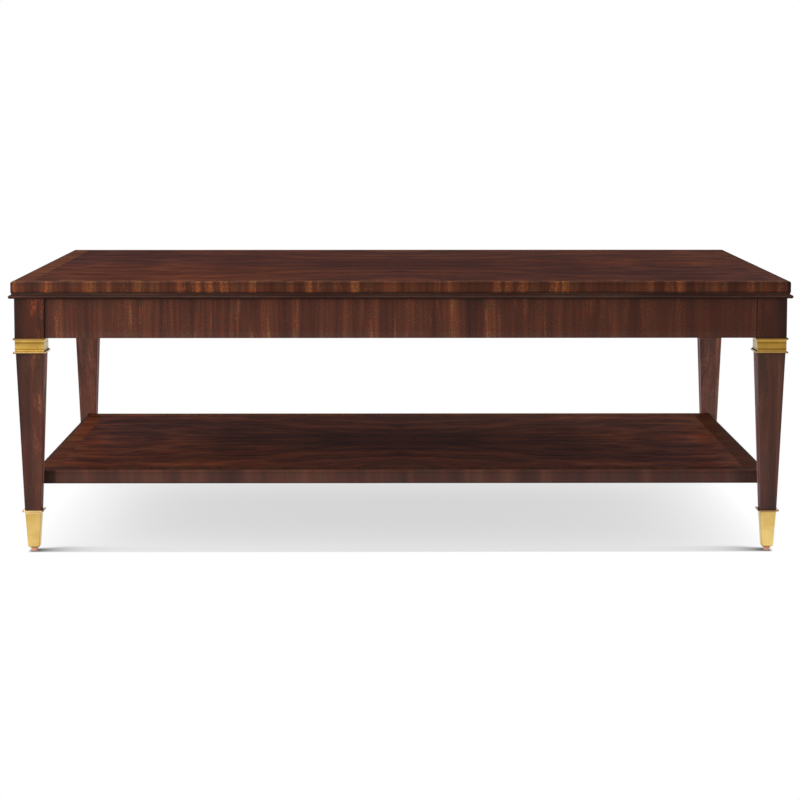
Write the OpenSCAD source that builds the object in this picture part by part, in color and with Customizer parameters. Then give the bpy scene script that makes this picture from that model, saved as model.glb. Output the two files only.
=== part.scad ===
// Rectangular coffee table: a crossbanded top on four square tapered legs with brass collars and
// brass ferrules, and a lower shelf held between the front and the back legs.
// X runs to the right, Y away from the front, Z up. The origin is on the floor under the middle.

/* [Overall] */
// Width over the bead moulding
table_w = 1372; // [1000:2:1600]
// Depth over the bead moulding
table_d = 813; // [620:1:1000]
// Height from the floor to the top face
table_h = 482; // [430:1:560]

/* [Top] */
// Thickness of the top panel
top_t = 20; // [18:0.5:30]
// Width of the mitred border, from the panel's edge to the field
band_w = 35; // [25:1:60]
// Thickness of the solid lippings round the panels
lip_t = 6; // [5:0.5:10]
// Radius of the top panel's upper arris
top_arris_r = 3.5; // [1:0.5:4]
// Radius of the small arrises on the shelf and under the top
small_arris_r = 1; // [0.5:0.1:1.5]
// Thickness of the face and backing veneers
veneer_t = 0.8; // [0.5:0.1:1.5]

/* [Bead moulding] */
// Height of the moulding under the top panel
mould_h = 10; // [10:0.5:16]
// How far the moulding's nose stands out past the panel
mould_out = 4; // [3:0.5:6]
// Height of the rounded nose
nose_h = 6; // [4:0.5:7]
// Radius of the cove above the nose
cove_r = 2; // [1:0.5:2.5]

/* [Apron] */
// How far the legs' outer faces stand inside the panel's edge
leg_inset = 5; // [4:0.5:20]
// Height of the rails
apron_h = 80; // [65:1:110]
// Thickness of the rails
rail_t = 22; // [20:0.5:26]
// How far the rails' faces lie behind the legs' faces
rail_setback = 1; // [0:0.5:3]
// Width of the shadow line at each rail's end
reveal_w = 1.4; // [0.5:0.1:3]
// Depth of the shadow line
reveal_d = 2; // [0.5:0.1:4]
// Thickness of the tenons
tenon_t = 9; // [6:0.5:10]
// Length of the tenons
tenon_l = 26; // [15:1:28]
// Shoulder above the tenons
haunch_h = 14; // [8:1:20]
// Shoulder below the tenons
foot_shoulder_h = 8; // [5:1:15]
// Glue gap round every joint that is glued
glue_gap = 0.1; // [0.05:0.05:0.2]

/* [Bracing] */
// Thickness of the corner blocks
block_t = 24; // [20:1:30]
// Height of the corner blocks and of the cross rail
block_h = 45; // [40:1:55]
// Thickness of the cross rail
cross_t = 22; // [18:1:30]
// Length of the cross rail's stub tenons
stub_l = 10; // [6:1:14]
// Shoulder round the stub tenons
stub_shoulder = 5; // [3:0.5:7]

/* [Legs] */
// Width of the square post beside the apron
post_w = 52; // [50:0.5:60]
// Width of the leg inside and just under the collar
leg_w = 49; // [46:0.5:49.5]
// Width of the leg just above the ferrule
leg_end_w = 28.5; // [28.5:0.5:34]
// Size of the chamfer along the legs' arrises
leg_arris = 1.2; // [1.2:0.1:2]

/* [Collars] */
// Height of the collars
collar_h = 27; // [20:0.5:40]
// Width over the collars' flanges
collar_w = 57; // [56:0.5:64]
// Width over the collars' neck
neck_w = 51.2; // [51:0.1:52]
// Thickness of the flanges at their edge
flange_t = 3; // [2:0.5:4]
// Gap between a collar and its leg
collar_fit = 0.1; // [0.05:0.05:0.2]

/* [Ferrules] */
// Height of the ferrules
ferrule_h = 67.5; // [55:0.5:80]
// Width over the ferrules' top lip
ferrule_lip_w = 37; // [35:0.5:42]
// Thickness of the lip
ferrule_lip_t = 2.4; // [1.5:0.1:3.5]
// Height of the flare under the lip
flare_h = 5; // [3:0.5:7]
// Width of the body just under the flare
ferrule_top_w = 27.8; // [27:0.1:30]
// Width of the body at the bottom
ferrule_end_w = 20.8; // [18:0.1:24]
// Radius of the body's upright arrises
ferrule_arris_r = 3; // [2:0.1:4]
// Radius of the body's bottom edge
ferrule_edge_r = 3.4; // [2:0.1:4]
// Thickness of the ferrules' wall and floor
ferrule_wall = 1.4; // [1:0.1:2]
// Gap between a ferrule and the leg inside it
ferrule_fit = 0.15; // [0.1:0.05:0.3]

/* [Glides] */
// Height of the glides under the ferrules
glide_h = 7; // [5:0.5:12]
// Diameter of the glides where they meet the ferrules
glide_d = 13; // [11:0.5:15]
// Diameter of the face that stands on the floor
glide_foot_d = 11; // [10:0.5:11]
// Radius of the glides' lower edge
glide_edge_r = 1; // [0.5:0.1:1.2]

/* [Shelf] */
// Height of the shelf's top face above the floor
shelf_z = 141.5; // [120:0.5:220]
// Thickness of the shelf
shelf_t = 24; // [20:0.5:30]
// How far the shelf's ends stop short of the legs' centre lines
shelf_end_back = 1; // [0:0.5:3]
// Depth of the leg housings at the shelf's underside
housing_d = 0.6; // [0.3:0.1:1.5]

/* [Fasteners] */
// Diameter of the shelf dowels
dowel_d = 8; // [6:0.5:8]
// Length of the shelf dowels
dowel_l = 40; // [30:1:44]
// Gap round the dowels
dowel_fit = 0.05; // [0.05:0.05:0.1]
// Diameter of the wood screws
screw_d = 4; // [3.5:0.5:4.5]
// Length of the wood screws
screw_l = 28; // [25:1:30]
// Diameter of the screws' heads
screw_head_d = 8; // [7:0.5:8]
// How much timber the screws pass through before the piece that they hold
screw_hold = 14; // [12:1:14]
// Diameter of the glide nails
nail_d = 2.4; // [2:0.1:3]
// Length of the glide nails
nail_l = 26; // [20:1:32]
// Diameter of the glide nails' heads
nail_head_d = 6; // [5:0.5:6.5]
// Gap round screws and nails
fastener_fit = 0.1; // [0.05:0.05:0.2]

/* [Hidden] */
$fn = 48;
arc_steps = 6;
diag = sqrt(2);
cut = 1; // overrun of every cut past the face it starts from

// Colours
veneer_col = [0.30, 0.17, 0.14];
band_col = [0.38, 0.21, 0.15];
leg_col = [0.33, 0.20, 0.17];
mould_col = [0.20, 0.12, 0.10];
timber_col = [0.66, 0.52, 0.36];
brass_col = [0.80, 0.64, 0.32];
glide_col = [0.80, 0.55, 0.43];
steel_col = [0.62, 0.62, 0.64];

// Top panel
top_half_x = table_w / 2 - mould_out;
top_half_y = table_d / 2 - mould_out;
under_z = table_h - top_t;

// Moulding, measured outwards from the posts' faces
nose_tip = leg_inset + mould_out;
nose_r = nose_h / 2;
nose_x = nose_tip - nose_r;
cove_x = nose_x - cove_r;

// Legs and apron
post_half = post_w / 2;
leg_x = top_half_x - leg_inset - post_half;
leg_y = top_half_y - leg_inset - post_half;
apron_z = under_z - apron_h;
rail_in = rail_setback + rail_t - post_half; // a rail's inner face, from the leg's centre line
rail_mid = rail_in - rail_t / 2;
tenon_h = apron_h - haunch_h - foot_shoulder_h;
span_x = leg_x - post_half; // half the distance between the posts
span_y = leg_y - post_half;

// Corner blocks, measured along the rails from the corner of their inner faces
block_near = 2 * (post_half - rail_in);
block_far = block_near + block_t * diag;
block_mid = (block_near + block_far) / 2;
block_top_screw = rail_in + block_mid / 2; // from the leg's centre line, both ways
block_screw_z = under_z - block_h / 2;
head_bore = screw_head_d + 2 * fastener_fit;
head_h = (screw_head_d - screw_d) / 2;

// Collars and ferrules
collar_z = apron_z - collar_h;
collar_hole = leg_w + 2 * collar_fit;
flange_cove = (collar_w - neck_w) / 2;
ferrule_z = glide_h + ferrule_h; // top face of the ferrules
flare_z = ferrule_z - ferrule_lip_t - flare_h;
body_slope = (ferrule_top_w - ferrule_end_w) / 2 / (flare_z - glide_h);
leg_slope = (leg_w - leg_end_w) / 2 / (collar_z - ferrule_z);
floor_z = glide_h + ferrule_wall; // inside floor of the ferrules

// Shelf
seat_step = 0.05; // the shelf's seats are cut to the nearest whole step
shelf_under = shelf_z - shelf_t;
shelf_half_x = leg_x - shelf_end_back;
seat_y = round(leg_half(shelf_under) / seat_step) * seat_step - housing_d; // from the leg's centre line
shelf_half_y = leg_y - seat_y;
dowel_x = (leg_half(shelf_under) + shelf_end_back) / 2; // inwards from the leg's centre line
dowel_z = shelf_z - shelf_t / 2;

// Glide nails
nail_seat_z = glide_h / 2;
nail_head_h = (nail_head_d - nail_d) / 2;

// Half the width of a leg's taper at height z
function leg_half(z) = leg_end_w / 2 + leg_slope * (z - ferrule_z);

// Half the outer width of a ferrule's body at height z
function body_half(z) = ferrule_end_w / 2 + body_slope * (z - glide_h);

// Points of an arc round c, from angle a0 to a1
function arc(c, r, a0, a1, n = arc_steps) =
    [for (i = [0 : n]) c + r * [cos(a0 + (a1 - a0) * i / n), sin(a0 + (a1 - a0) * i / n)]];

// Moves a piece drawn for the front to one of the four sides
module on_side(side) {
    turn = side == "front" ? 0 : side == "back" ? 180 : side == "left" ? -90 : 90;
    rotate([0, 0, turn]) children();
}

// Moves a piece drawn at the front left leg, with its inner sides towards +X and +Y
module at_leg(right, back) {
    sx = right ? 1 : -1;
    sy = back ? 1 : -1;
    translate([sx * leg_x, sy * leg_y, 0])
        mirror([right ? 1 : 0, 0, 0])
            mirror([0, back ? 1 : 0, 0]) children();
}

// Solid with one outline of [half width, z] points, seen along both X and Y
module square_sweep(outline) {
    span = 2 * max([for (p = outline) p[0]]) + 2 * cut;
    intersection() {
        cross_slab(outline, span);
        rotate([0, 0, 90]) cross_slab(outline, span);
    }
}

// Prism along Y with a mirrored outline of [half width, z] points
module cross_slab(outline, span) {
    n = len(outline);
    points = concat(outline, [for (i = [n - 1 : -1 : 0]) [-outline[i][0], outline[i][1]]]);
    translate([0, span / 2, 0]) rotate([90, 0, 0]) linear_extrude(span) polygon(points);
}

// Square sweep with a chamfer of the given size along its upright arrises
module chamfered_sweep(outline, chamfer) {
    intersection() {
        square_sweep(outline);
        rotate([0, 0, 45]) square_sweep([for (p = outline) [(2 * p[0] - chamfer) / diag, p[1]]]);
    }
}

// Strip along the front edge of a panel, mitred at 45 degrees at both ends
// The profile's first value runs inwards from the edge, its second one up from z
module mitred_strip(half_x, half_y, width, z, profile) {
    low = min([for (p = profile) p[1]]);
    high = max([for (p = profile) p[1]]);
    intersection() {
        translate([-half_x, -half_y, z])
            rotate([90, 0, 90]) linear_extrude(2 * half_x) polygon(profile);
        translate([0, 0, z + low - cut])
            linear_extrude(high - low + 2 * cut) mitred_plan(half_x, half_y, width);
    }
}

module mitred_plan(half_x, half_y, width) {
    polygon([
        [-half_x, -half_y], [half_x, -half_y],
        [half_x - width, width - half_y], [width - half_x, width - half_y]
    ]);
}

// Section of a lipping: arris radii at its upper and lower outer corners
function lipping_profile(height, upper_r, lower_r) = concat(
    arc([lower_r, lower_r], lower_r, 270, 180),
    arc([upper_r, height - upper_r], upper_r, 180, 90),
    [[lip_t, height], [lip_t, 0]]
);

// Panels: the top and the shelf are built alike
module panel_core(half_x, half_y, z, thickness) {
    w = 2 * (half_x - lip_t);
    d = 2 * (half_y - lip_t);
    color(timber_col)
        translate([-w / 2, -d / 2, z + veneer_t]) cube([w, d, thickness - 2 * veneer_t]);
}

module panel_backing(half_x, half_y, z) {
    w = 2 * (half_x - lip_t);
    d = 2 * (half_y - lip_t);
    color(veneer_col) translate([-w / 2, -d / 2, z]) cube([w, d, veneer_t]);
}

module panel_leaf(half_x, half_y, face_z, right, back) {
    w = half_x - band_w;
    d = half_y - band_w;
    color(veneer_col)
        translate([right ? 0 : -w, back ? 0 : -d, face_z - veneer_t]) cube([w, d, veneer_t]);
}

module panel_band(half_x, half_y, face_z) {
    color(band_col)
        translate([0, 0, face_z - veneer_t])
            linear_extrude(veneer_t) mitred_plan(half_x - lip_t, half_y - lip_t, band_w - lip_t);
}

module panel_lipping(half_x, half_y, z, profile) {
    color(band_col) mitred_strip(half_x, half_y, lip_t, z, profile);
}

// Top
module top_screw_holes() {
    top_screw_places() translate([0, 0, under_z - cut])
        cylinder(d = screw_d + 2 * fastener_fit, h = screw_l - screw_hold + fastener_fit + cut);
}

// Axes of the screws that hold the top: one in each corner block and two in the cross rail
module top_screw_places() {
    for (right = [false, true]) for (back = [false, true])
        at_leg(right, back) translate([block_top_screw, block_top_screw, 0]) children();
    for (sy = [-1, 1]) translate([0, sy * span_y / 2, 0]) children();
}

module top_core() {
    difference() {
        panel_core(top_half_x, top_half_y, under_z, top_t);
        top_screw_holes();
    }
}

module top_backing_veneer() {
    difference() {
        panel_backing(top_half_x, top_half_y, under_z);
        top_screw_holes();
    }
}

module top_leaf(right, back) {
    panel_leaf(top_half_x, top_half_y, table_h, right, back);
}

module top_band(side) {
    along = side == "front" || side == "back";
    on_side(side)
        panel_band(along ? top_half_x : top_half_y, along ? top_half_y : top_half_x, table_h);
}

module top_lipping(side) {
    along = side == "front" || side == "back";
    on_side(side)
        panel_lipping(along ? top_half_x : top_half_y, along ? top_half_y : top_half_x, under_z,
            lipping_profile(top_t, top_arris_r, small_arris_r));
}

// Bead moulding: a cove and a rounded nose, on the posts' faces and under the panel
module moulding(side) {
    along = side == "front" || side == "back";
    half_x = (along ? leg_x : leg_y) + post_half + nose_tip;
    half_y = (along ? leg_y : leg_x) + post_half + nose_tip;
    profile = concat(
        [[nose_tip, 0], [nose_tip - cove_x, 0]],
        arc([nose_tip - nose_x, nose_h + cove_r - mould_h], cove_r, 0, -90),
        arc([nose_tip - nose_x, nose_r - mould_h], nose_r, 90, 270, 2 * arc_steps),
        [[nose_tip, -mould_h]]
    );
    color(mould_col) on_side(side) mitred_strip(half_x, half_y, nose_tip, under_z, profile);
}

// Apron rail between two posts, with a tenon and a shadow line at each end
module rail(half_span, line_y) {
    tenon_z = apron_z + foot_shoulder_h;
    outer_y = rail_t / 2;
    translate([0, -line_y, 0]) difference() {
        union() {
            translate([-half_span, -outer_y, apron_z]) cube([2 * half_span, rail_t, apron_h]);
            translate([-half_span - tenon_l, -tenon_t / 2, tenon_z])
                cube([2 * (half_span + tenon_l), tenon_t, tenon_h]);
        }
        for (end = [-1, 1]) {
            translate([end * (half_span - reveal_w / 2) - reveal_w / 2, -outer_y - cut, apron_z - cut])
                cube([reveal_w, reveal_d + cut, apron_h + 2 * cut]);
            translate([end * (half_span + post_half - rail_in - block_mid), outer_y, 0])
                rail_screw_hole();
        }
    }
}

module rail_screw_hole() {
    translate([0, cut, block_screw_z]) rotate([90, 0, 0])
        cylinder(d = screw_d + 2 * fastener_fit, h = screw_l - screw_hold + fastener_fit + cut);
}

module apron(side) {
    along = side == "front" || side == "back";
    half_span = along ? span_x : span_y;
    line_y = (along ? leg_y : leg_x) - rail_mid;
    color(leg_col) on_side(side) difference() {
        rail(half_span, line_y);
        if (along) {
            translate([0, -line_y + rail_t / 2, 0]) stub_mortise();
        }
    }
}

module stub_mortise() {
    w = cross_t - 2 * stub_shoulder + 2 * glue_gap;
    h = block_h - 2 * stub_shoulder + 2 * glue_gap;
    depth = stub_l + glue_gap;
    translate([-w / 2, -depth, under_z - block_h + stub_shoulder - glue_gap]) cube([w, depth + cut, h]);
}

// Cross rail under the middle of the top, tenoned into the long rails
module cross_rail() {
    half_y = leg_y - rail_in;
    stub_w = cross_t - 2 * stub_shoulder;
    stub_h = block_h - 2 * stub_shoulder;
    color(timber_col) difference() {
        union() {
            translate([-cross_t / 2, -half_y, under_z - block_h]) cube([cross_t, 2 * half_y, block_h]);
            translate([-stub_w / 2, -half_y - stub_l, under_z - block_h + stub_shoulder])
                cube([stub_w, 2 * (half_y + stub_l), stub_h]);
        }
        for (sy = [-1, 1]) translate([0, sy * span_y / 2, 0]) top_screw_bore();
    }
}

// Stepped hole for a screw that goes up into the top
module top_screw_bore() {
    translate([0, 0, under_z - screw_hold - cut])
        cylinder(d = screw_d + 2 * fastener_fit, h = screw_hold + 2 * cut);
    translate([0, 0, under_z - block_h - cut])
        cylinder(d = head_bore, h = block_h - screw_hold + cut);
}

// Block across the corner between two rails and the post
module corner_block(right, back) {
    color(timber_col) at_leg(right, back) difference() {
        translate([rail_in, rail_in, under_z - block_h]) linear_extrude(block_h) polygon([
            [block_near, 0], [block_far, 0], [0, block_far], [0, block_near]
        ]);
        translate([block_top_screw, block_top_screw, 0]) top_screw_bore();
        block_rail_screws() block_screw_bore();
    }
}

// Axes of a block's two level screws, each pointing out towards its rail
module block_rail_screws() {
    translate([rail_in + block_mid, rail_in, block_screw_z]) rotate([90, 0, 0]) children();
    translate([rail_in, rail_in + block_mid, block_screw_z]) rotate([0, -90, 0]) children();
}

module block_screw_bore() {
    depth = block_t * diag;
    translate([0, 0, -screw_hold - cut])
        cylinder(d = screw_d + 2 * fastener_fit, h = screw_hold + 2 * cut);
    translate([0, 0, -depth]) cylinder(d = head_bore, h = depth - screw_hold);
}

// Legs: a spigot inside the ferrule, the taper, a plain seat inside the collar and the square post
// Each runs on into the next one up
module leg(right, back) {
    wall = ferrule_wall + ferrule_fit;
    spigot = [[body_half(floor_z) - wall, floor_z + ferrule_fit],
        [body_half(ferrule_z + cut) - wall, ferrule_z + cut]];
    taper = [[leg_end_w / 2, ferrule_z], [leg_w / 2, collar_z], [leg_w / 2, collar_z + cut]];
    post_flat = post_half - leg_arris;
    color(leg_col) at_leg(right, back) difference() {
        union() {
            chamfered_sweep(spigot, leg_arris);
            chamfered_sweep(taper, leg_arris);
            translate([-leg_w / 2, -leg_w / 2, collar_z]) cube([leg_w, leg_w, collar_h + cut]);
            translate([0, 0, apron_z]) linear_extrude(apron_h) polygon([
                [-post_half, -post_flat], [-post_flat, -post_half],
                [post_flat, -post_half], [post_half, -post_flat],
                [post_half, post_flat], [post_flat, post_half],
                [-post_flat, post_half], [-post_half, post_flat]
            ]);
        }
        mortise();
        mirror([1, -1, 0]) mortise();
        shelf_housing();
        translate([0, 0, floor_z]) cylinder(d = nail_d + 2 * fastener_fit, h = nail_l);
    }
}

// Mortise for the tenon of the rail that runs along X
module mortise() {
    translate([post_half - tenon_l - glue_gap, rail_mid - tenon_t / 2 - glue_gap,
        apron_z + foot_shoulder_h - glue_gap])
        cube([tenon_l + glue_gap + cut, tenon_t + 2 * glue_gap, tenon_h + 2 * glue_gap]);
}

// Flat seat that takes the taper off the leg where the shelf's edge meets it, and the dowel hole
module shelf_housing() {
    translate([shelf_end_back - glue_gap, seat_y, shelf_under - glue_gap])
        cube([post_half, post_half, shelf_t + 2 * glue_gap]);
    translate([dowel_x, seat_y + cut, dowel_z]) rotate([90, 0, 0])
        cylinder(d = dowel_d + 2 * dowel_fit, h = dowel_l / 2 + glue_gap + cut);
}

// Brass collar: two flanges with a coved neck between them
module collar(right, back) {
    outline = concat(
        [[collar_w / 2, 0]],
        arc([collar_w / 2, flange_t + flange_cove], flange_cove, 270, 180),
        arc([collar_w / 2, collar_h - flange_t - flange_cove], flange_cove, 180, 90),
        [[collar_w / 2, collar_h]]
    );
    color(brass_col) at_leg(right, back) translate([0, 0, collar_z]) difference() {
        square_sweep(outline);
        translate([-collar_hole / 2, -collar_hole / 2, -cut])
            cube([collar_hole, collar_hole, collar_h + 2 * cut]);
    }
}

// Ring of points round a square with rounded corners
function rounded_ring(half, r, z) = [
    for (q = [0 : 3], i = [0 : arc_steps])
        let (a = 90 * q + 90 * i / arc_steps, m = 90 * q + 45)
        [sign(cos(m)) * (half - r) + r * cos(a), sign(sin(m)) * (half - r) + r * sin(a), z]
];

// Closed solid through a list of rings with equal numbers of points, first one at the outside floor
module ring_solid(rings) {
    n = len(rings[0]);
    last = len(rings) - 1;
    sides = [
        for (k = [0 : last - 1], i = [0 : n - 1])
            let (a = k * n + i, b = k * n + (i + 1) % n)
            each [[a, a + n, b], [b, a + n, b + n]]
    ];
    floor_cap = [[for (i = [0 : n - 1]) i]];
    end_cap = [[for (i = [n - 1 : -1 : 0]) last * n + i]];
    polyhedron([for (ring = rings) each ring], concat(floor_cap, sides, end_cap));
}

// Brass ferrule: a tapered cup with rounded arrises and a flared lip
module ferrule(right, back) {
    inner_r = ferrule_arris_r - ferrule_wall;
    lip_half = ferrule_lip_w / 2;
    lip_r = ferrule_arris_r;
    edge_mid = [body_half(glide_h) - ferrule_edge_r, glide_h + ferrule_edge_r];
    edge = [
        for (p = arc(edge_mid, ferrule_edge_r, 270, 360))
            rounded_ring(p[0], min(ferrule_arris_r, p[0] / 2), p[1])
    ];
    flare_w = lip_half - ferrule_lip_t / 3 - body_half(flare_z);
    flare = [
        for (i = [0 : arc_steps]) let (a = 90 * i / arc_steps)
            rounded_ring(body_half(flare_z) + flare_w * (1 - cos(a)), lip_r, flare_z + flare_h * sin(a))
    ];
    rings = concat(
        edge, flare,
        [
            rounded_ring(lip_half, lip_r, ferrule_z - ferrule_lip_t),
            rounded_ring(lip_half, lip_r, ferrule_z),
            rounded_ring(body_half(ferrule_z) - ferrule_wall, inner_r, ferrule_z),
            rounded_ring(body_half(floor_z) - ferrule_wall, inner_r, floor_z)
        ]
    );
    color(brass_col) at_leg(right, back) difference() {
        ring_solid(rings);
        translate([0, 0, glide_h - cut])
            cylinder(d = nail_d + 2 * fastener_fit, h = ferrule_wall + 2 * cut);
    }
}

// Round nylon glide, with the nail's head sunk into it
module glide(right, back) {
    foot_r = glide_foot_d / 2;
    outline = concat(
        [[0, 0]],
        arc([foot_r - glide_edge_r, glide_edge_r], glide_edge_r, 270, 360),
        [[glide_d / 2, glide_h], [0, glide_h]]
    );
    color(glide_col) at_leg(right, back) difference() {
        rotate_extrude() polygon(outline);
        translate([0, 0, -cut]) cylinder(d = nail_d + 2 * fastener_fit, h = glide_h + 2 * cut);
        translate([0, 0, -cut]) cylinder(d = nail_head_d + 2 * fastener_fit, h = nail_seat_z + cut);
    }
}

module glide_nails() {
    color(steel_col) for (right = [false, true]) for (back = [false, true])
        at_leg(right, back) translate([0, 0, nail_seat_z]) {
            cylinder(d = nail_d, h = nail_l);
            translate([0, 0, -nail_head_h]) cylinder(d1 = nail_head_d, d2 = nail_d, h = nail_head_h);
        }
}

// Shelf
module dowel_places() {
    for (right = [false, true]) for (back = [false, true])
        at_leg(right, back)
            translate([dowel_x, seat_y, dowel_z]) rotate([90, 0, 0]) children();
}

module dowel_holes() {
    dowel_places() translate([0, 0, -dowel_l / 2 - glue_gap])
        cylinder(d = dowel_d + 2 * dowel_fit, h = dowel_l / 2 + glue_gap + cut);
}

module shelf_core() {
    difference() {
        panel_core(shelf_half_x, shelf_half_y, shelf_under, shelf_t);
        dowel_holes();
    }
}

module shelf_backing_veneer() {
    panel_backing(shelf_half_x, shelf_half_y, shelf_under);
}

module shelf_leaf(right, back) {
    panel_leaf(shelf_half_x, shelf_half_y, shelf_z, right, back);
}

module shelf_band(side) {
    along = side == "front" || side == "back";
    on_side(side)
        panel_band(along ? shelf_half_x : shelf_half_y, along ? shelf_half_y : shelf_half_x, shelf_z);
}

module shelf_lipping(side) {
    along = side == "front" || side == "back";
    difference() {
        on_side(side)
            panel_lipping(along ? shelf_half_x : shelf_half_y, along ? shelf_half_y : shelf_half_x,
                shelf_under, lipping_profile(shelf_t, small_arris_r, small_arris_r));
        dowel_holes();
    }
}

module shelf_dowels() {
    color(timber_col) dowel_places() translate([0, 0, -dowel_l / 2])
        cylinder(d = dowel_d, h = dowel_l);
}

// Wood screws: each points along +Z, with its head's seat at z = 0
module wood_screw() {
    cylinder(d = screw_d, h = screw_l);
    translate([0, 0, -head_h]) cylinder(d1 = screw_head_d, d2 = screw_d, h = head_h);
}

module wood_screws() {
    color(steel_col) {
        top_screw_places() translate([0, 0, under_z - screw_hold]) wood_screw();
        for (right = [false, true]) for (back = [false, true])
            at_leg(right, back) block_rail_screws() translate([0, 0, -screw_hold]) wood_screw();
    }
}

top_core();
top_backing_veneer();
top_leaf(false, false);  // top_leaf_front_left
top_leaf(true, false);  // top_leaf_front_right
top_leaf(false, true);  // top_leaf_back_left
top_leaf(true, true);  // top_leaf_back_right
top_band("front");  // top_band_front
top_band("back");  // top_band_back
top_band("left");  // top_band_left
top_band("right");  // top_band_right
top_lipping("front");  // top_lipping_front
top_lipping("back");  // top_lipping_back
top_lipping("left");  // top_lipping_left
top_lipping("right");  // top_lipping_right
moulding("front");  // moulding_front
moulding("back");  // moulding_back
moulding("left");  // moulding_left
moulding("right");  // moulding_right
apron("front");  // apron_front
apron("back");  // apron_back
apron("left");  // apron_left
apron("right");  // apron_right
cross_rail();
corner_block(false, false);  // corner_block_front_left
corner_block(true, false);  // corner_block_front_right
corner_block(false, true);  // corner_block_back_left
corner_block(true, true);  // corner_block_back_right
leg(false, false);  // leg_front_left
leg(true, false);  // leg_front_right
leg(false, true);  // leg_back_left
leg(true, true);  // leg_back_right
collar(false, false);  // collar_front_left
collar(true, false);  // collar_front_right
collar(false, true);  // collar_back_left
collar(true, true);  // collar_back_right
ferrule(false, false);  // ferrule_front_left
ferrule(true, false);  // ferrule_front_right
ferrule(false, true);  // ferrule_back_left
ferrule(true, true);  // ferrule_back_right
glide(false, false);  // glide_front_left
glide(true, false);  // glide_front_right
glide(false, true);  // glide_back_left
glide(true, true);  // glide_back_right
glide_nails();
shelf_core();
shelf_backing_veneer();
shelf_leaf(false, false);  // shelf_leaf_front_left
shelf_leaf(true, false);  // shelf_leaf_front_right
shelf_leaf(false, true);  // shelf_leaf_back_left
shelf_leaf(true, true);  // shelf_leaf_back_right
shelf_band("front");  // shelf_band_front
shelf_band("back");  // shelf_band_back
shelf_band("left");  // shelf_band_left
shelf_band("right");  // shelf_band_right
shelf_lipping("front");  // shelf_lipping_front
shelf_lipping("back");  // shelf_lipping_back
shelf_lipping("left");  // shelf_lipping_left
shelf_lipping("right");  // shelf_lipping_right
shelf_dowels();
wood_screws();
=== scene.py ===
"""Looks of the coffee table: veneers, brass, hidden timber, camera, floor and light.

Lengths are metres in the row frame, but the heights in tables of bands are millimetres.
A tint is one linear level or three of them, and the colour is multiplied by it."""

import math

import bpy
from mathutils import Matrix, Vector


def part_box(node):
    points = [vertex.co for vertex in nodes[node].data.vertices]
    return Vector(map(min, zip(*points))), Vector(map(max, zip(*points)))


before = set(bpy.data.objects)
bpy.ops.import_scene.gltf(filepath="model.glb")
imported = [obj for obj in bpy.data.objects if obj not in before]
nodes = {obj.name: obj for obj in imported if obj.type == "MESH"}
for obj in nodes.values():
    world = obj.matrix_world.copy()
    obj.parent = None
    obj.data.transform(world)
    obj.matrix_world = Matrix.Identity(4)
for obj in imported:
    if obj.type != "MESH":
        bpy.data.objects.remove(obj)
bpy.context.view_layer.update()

MM = 0.001
LONG_SIDES, SHORT_SIDES = ("front", "back"), ("left", "right")
CORNERS = tuple(f"{y}_{x}" for y in LONG_SIDES for x in SHORT_SIDES)


def middle(name):
    """Middle of a CAD node's box."""
    low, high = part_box(name)
    return (low + high) / 2


LEG = middle("leg_back_right")
POST_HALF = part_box("leg_back_right")[1].x - LEG.x
COLLAR_FOOT, COLLAR_HEAD = (corner.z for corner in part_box("collar_back_right"))
FERRULE_FOOT, FERRULE_RIM = (corner.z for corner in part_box("ferrule_back_right"))


# ---------------------------------------------------------------- node graphs


def srgb(red, green, blue):
    """Linear colour of an sRGB triple from 0 to 255."""
    values = []
    for channel in (red, green, blue):
        c = channel / 255
        values.append(c / 12.92 if c <= 0.04045 else ((c + 0.055) / 1.055) ** 2.4)
    return (*values, 1.0)


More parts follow.
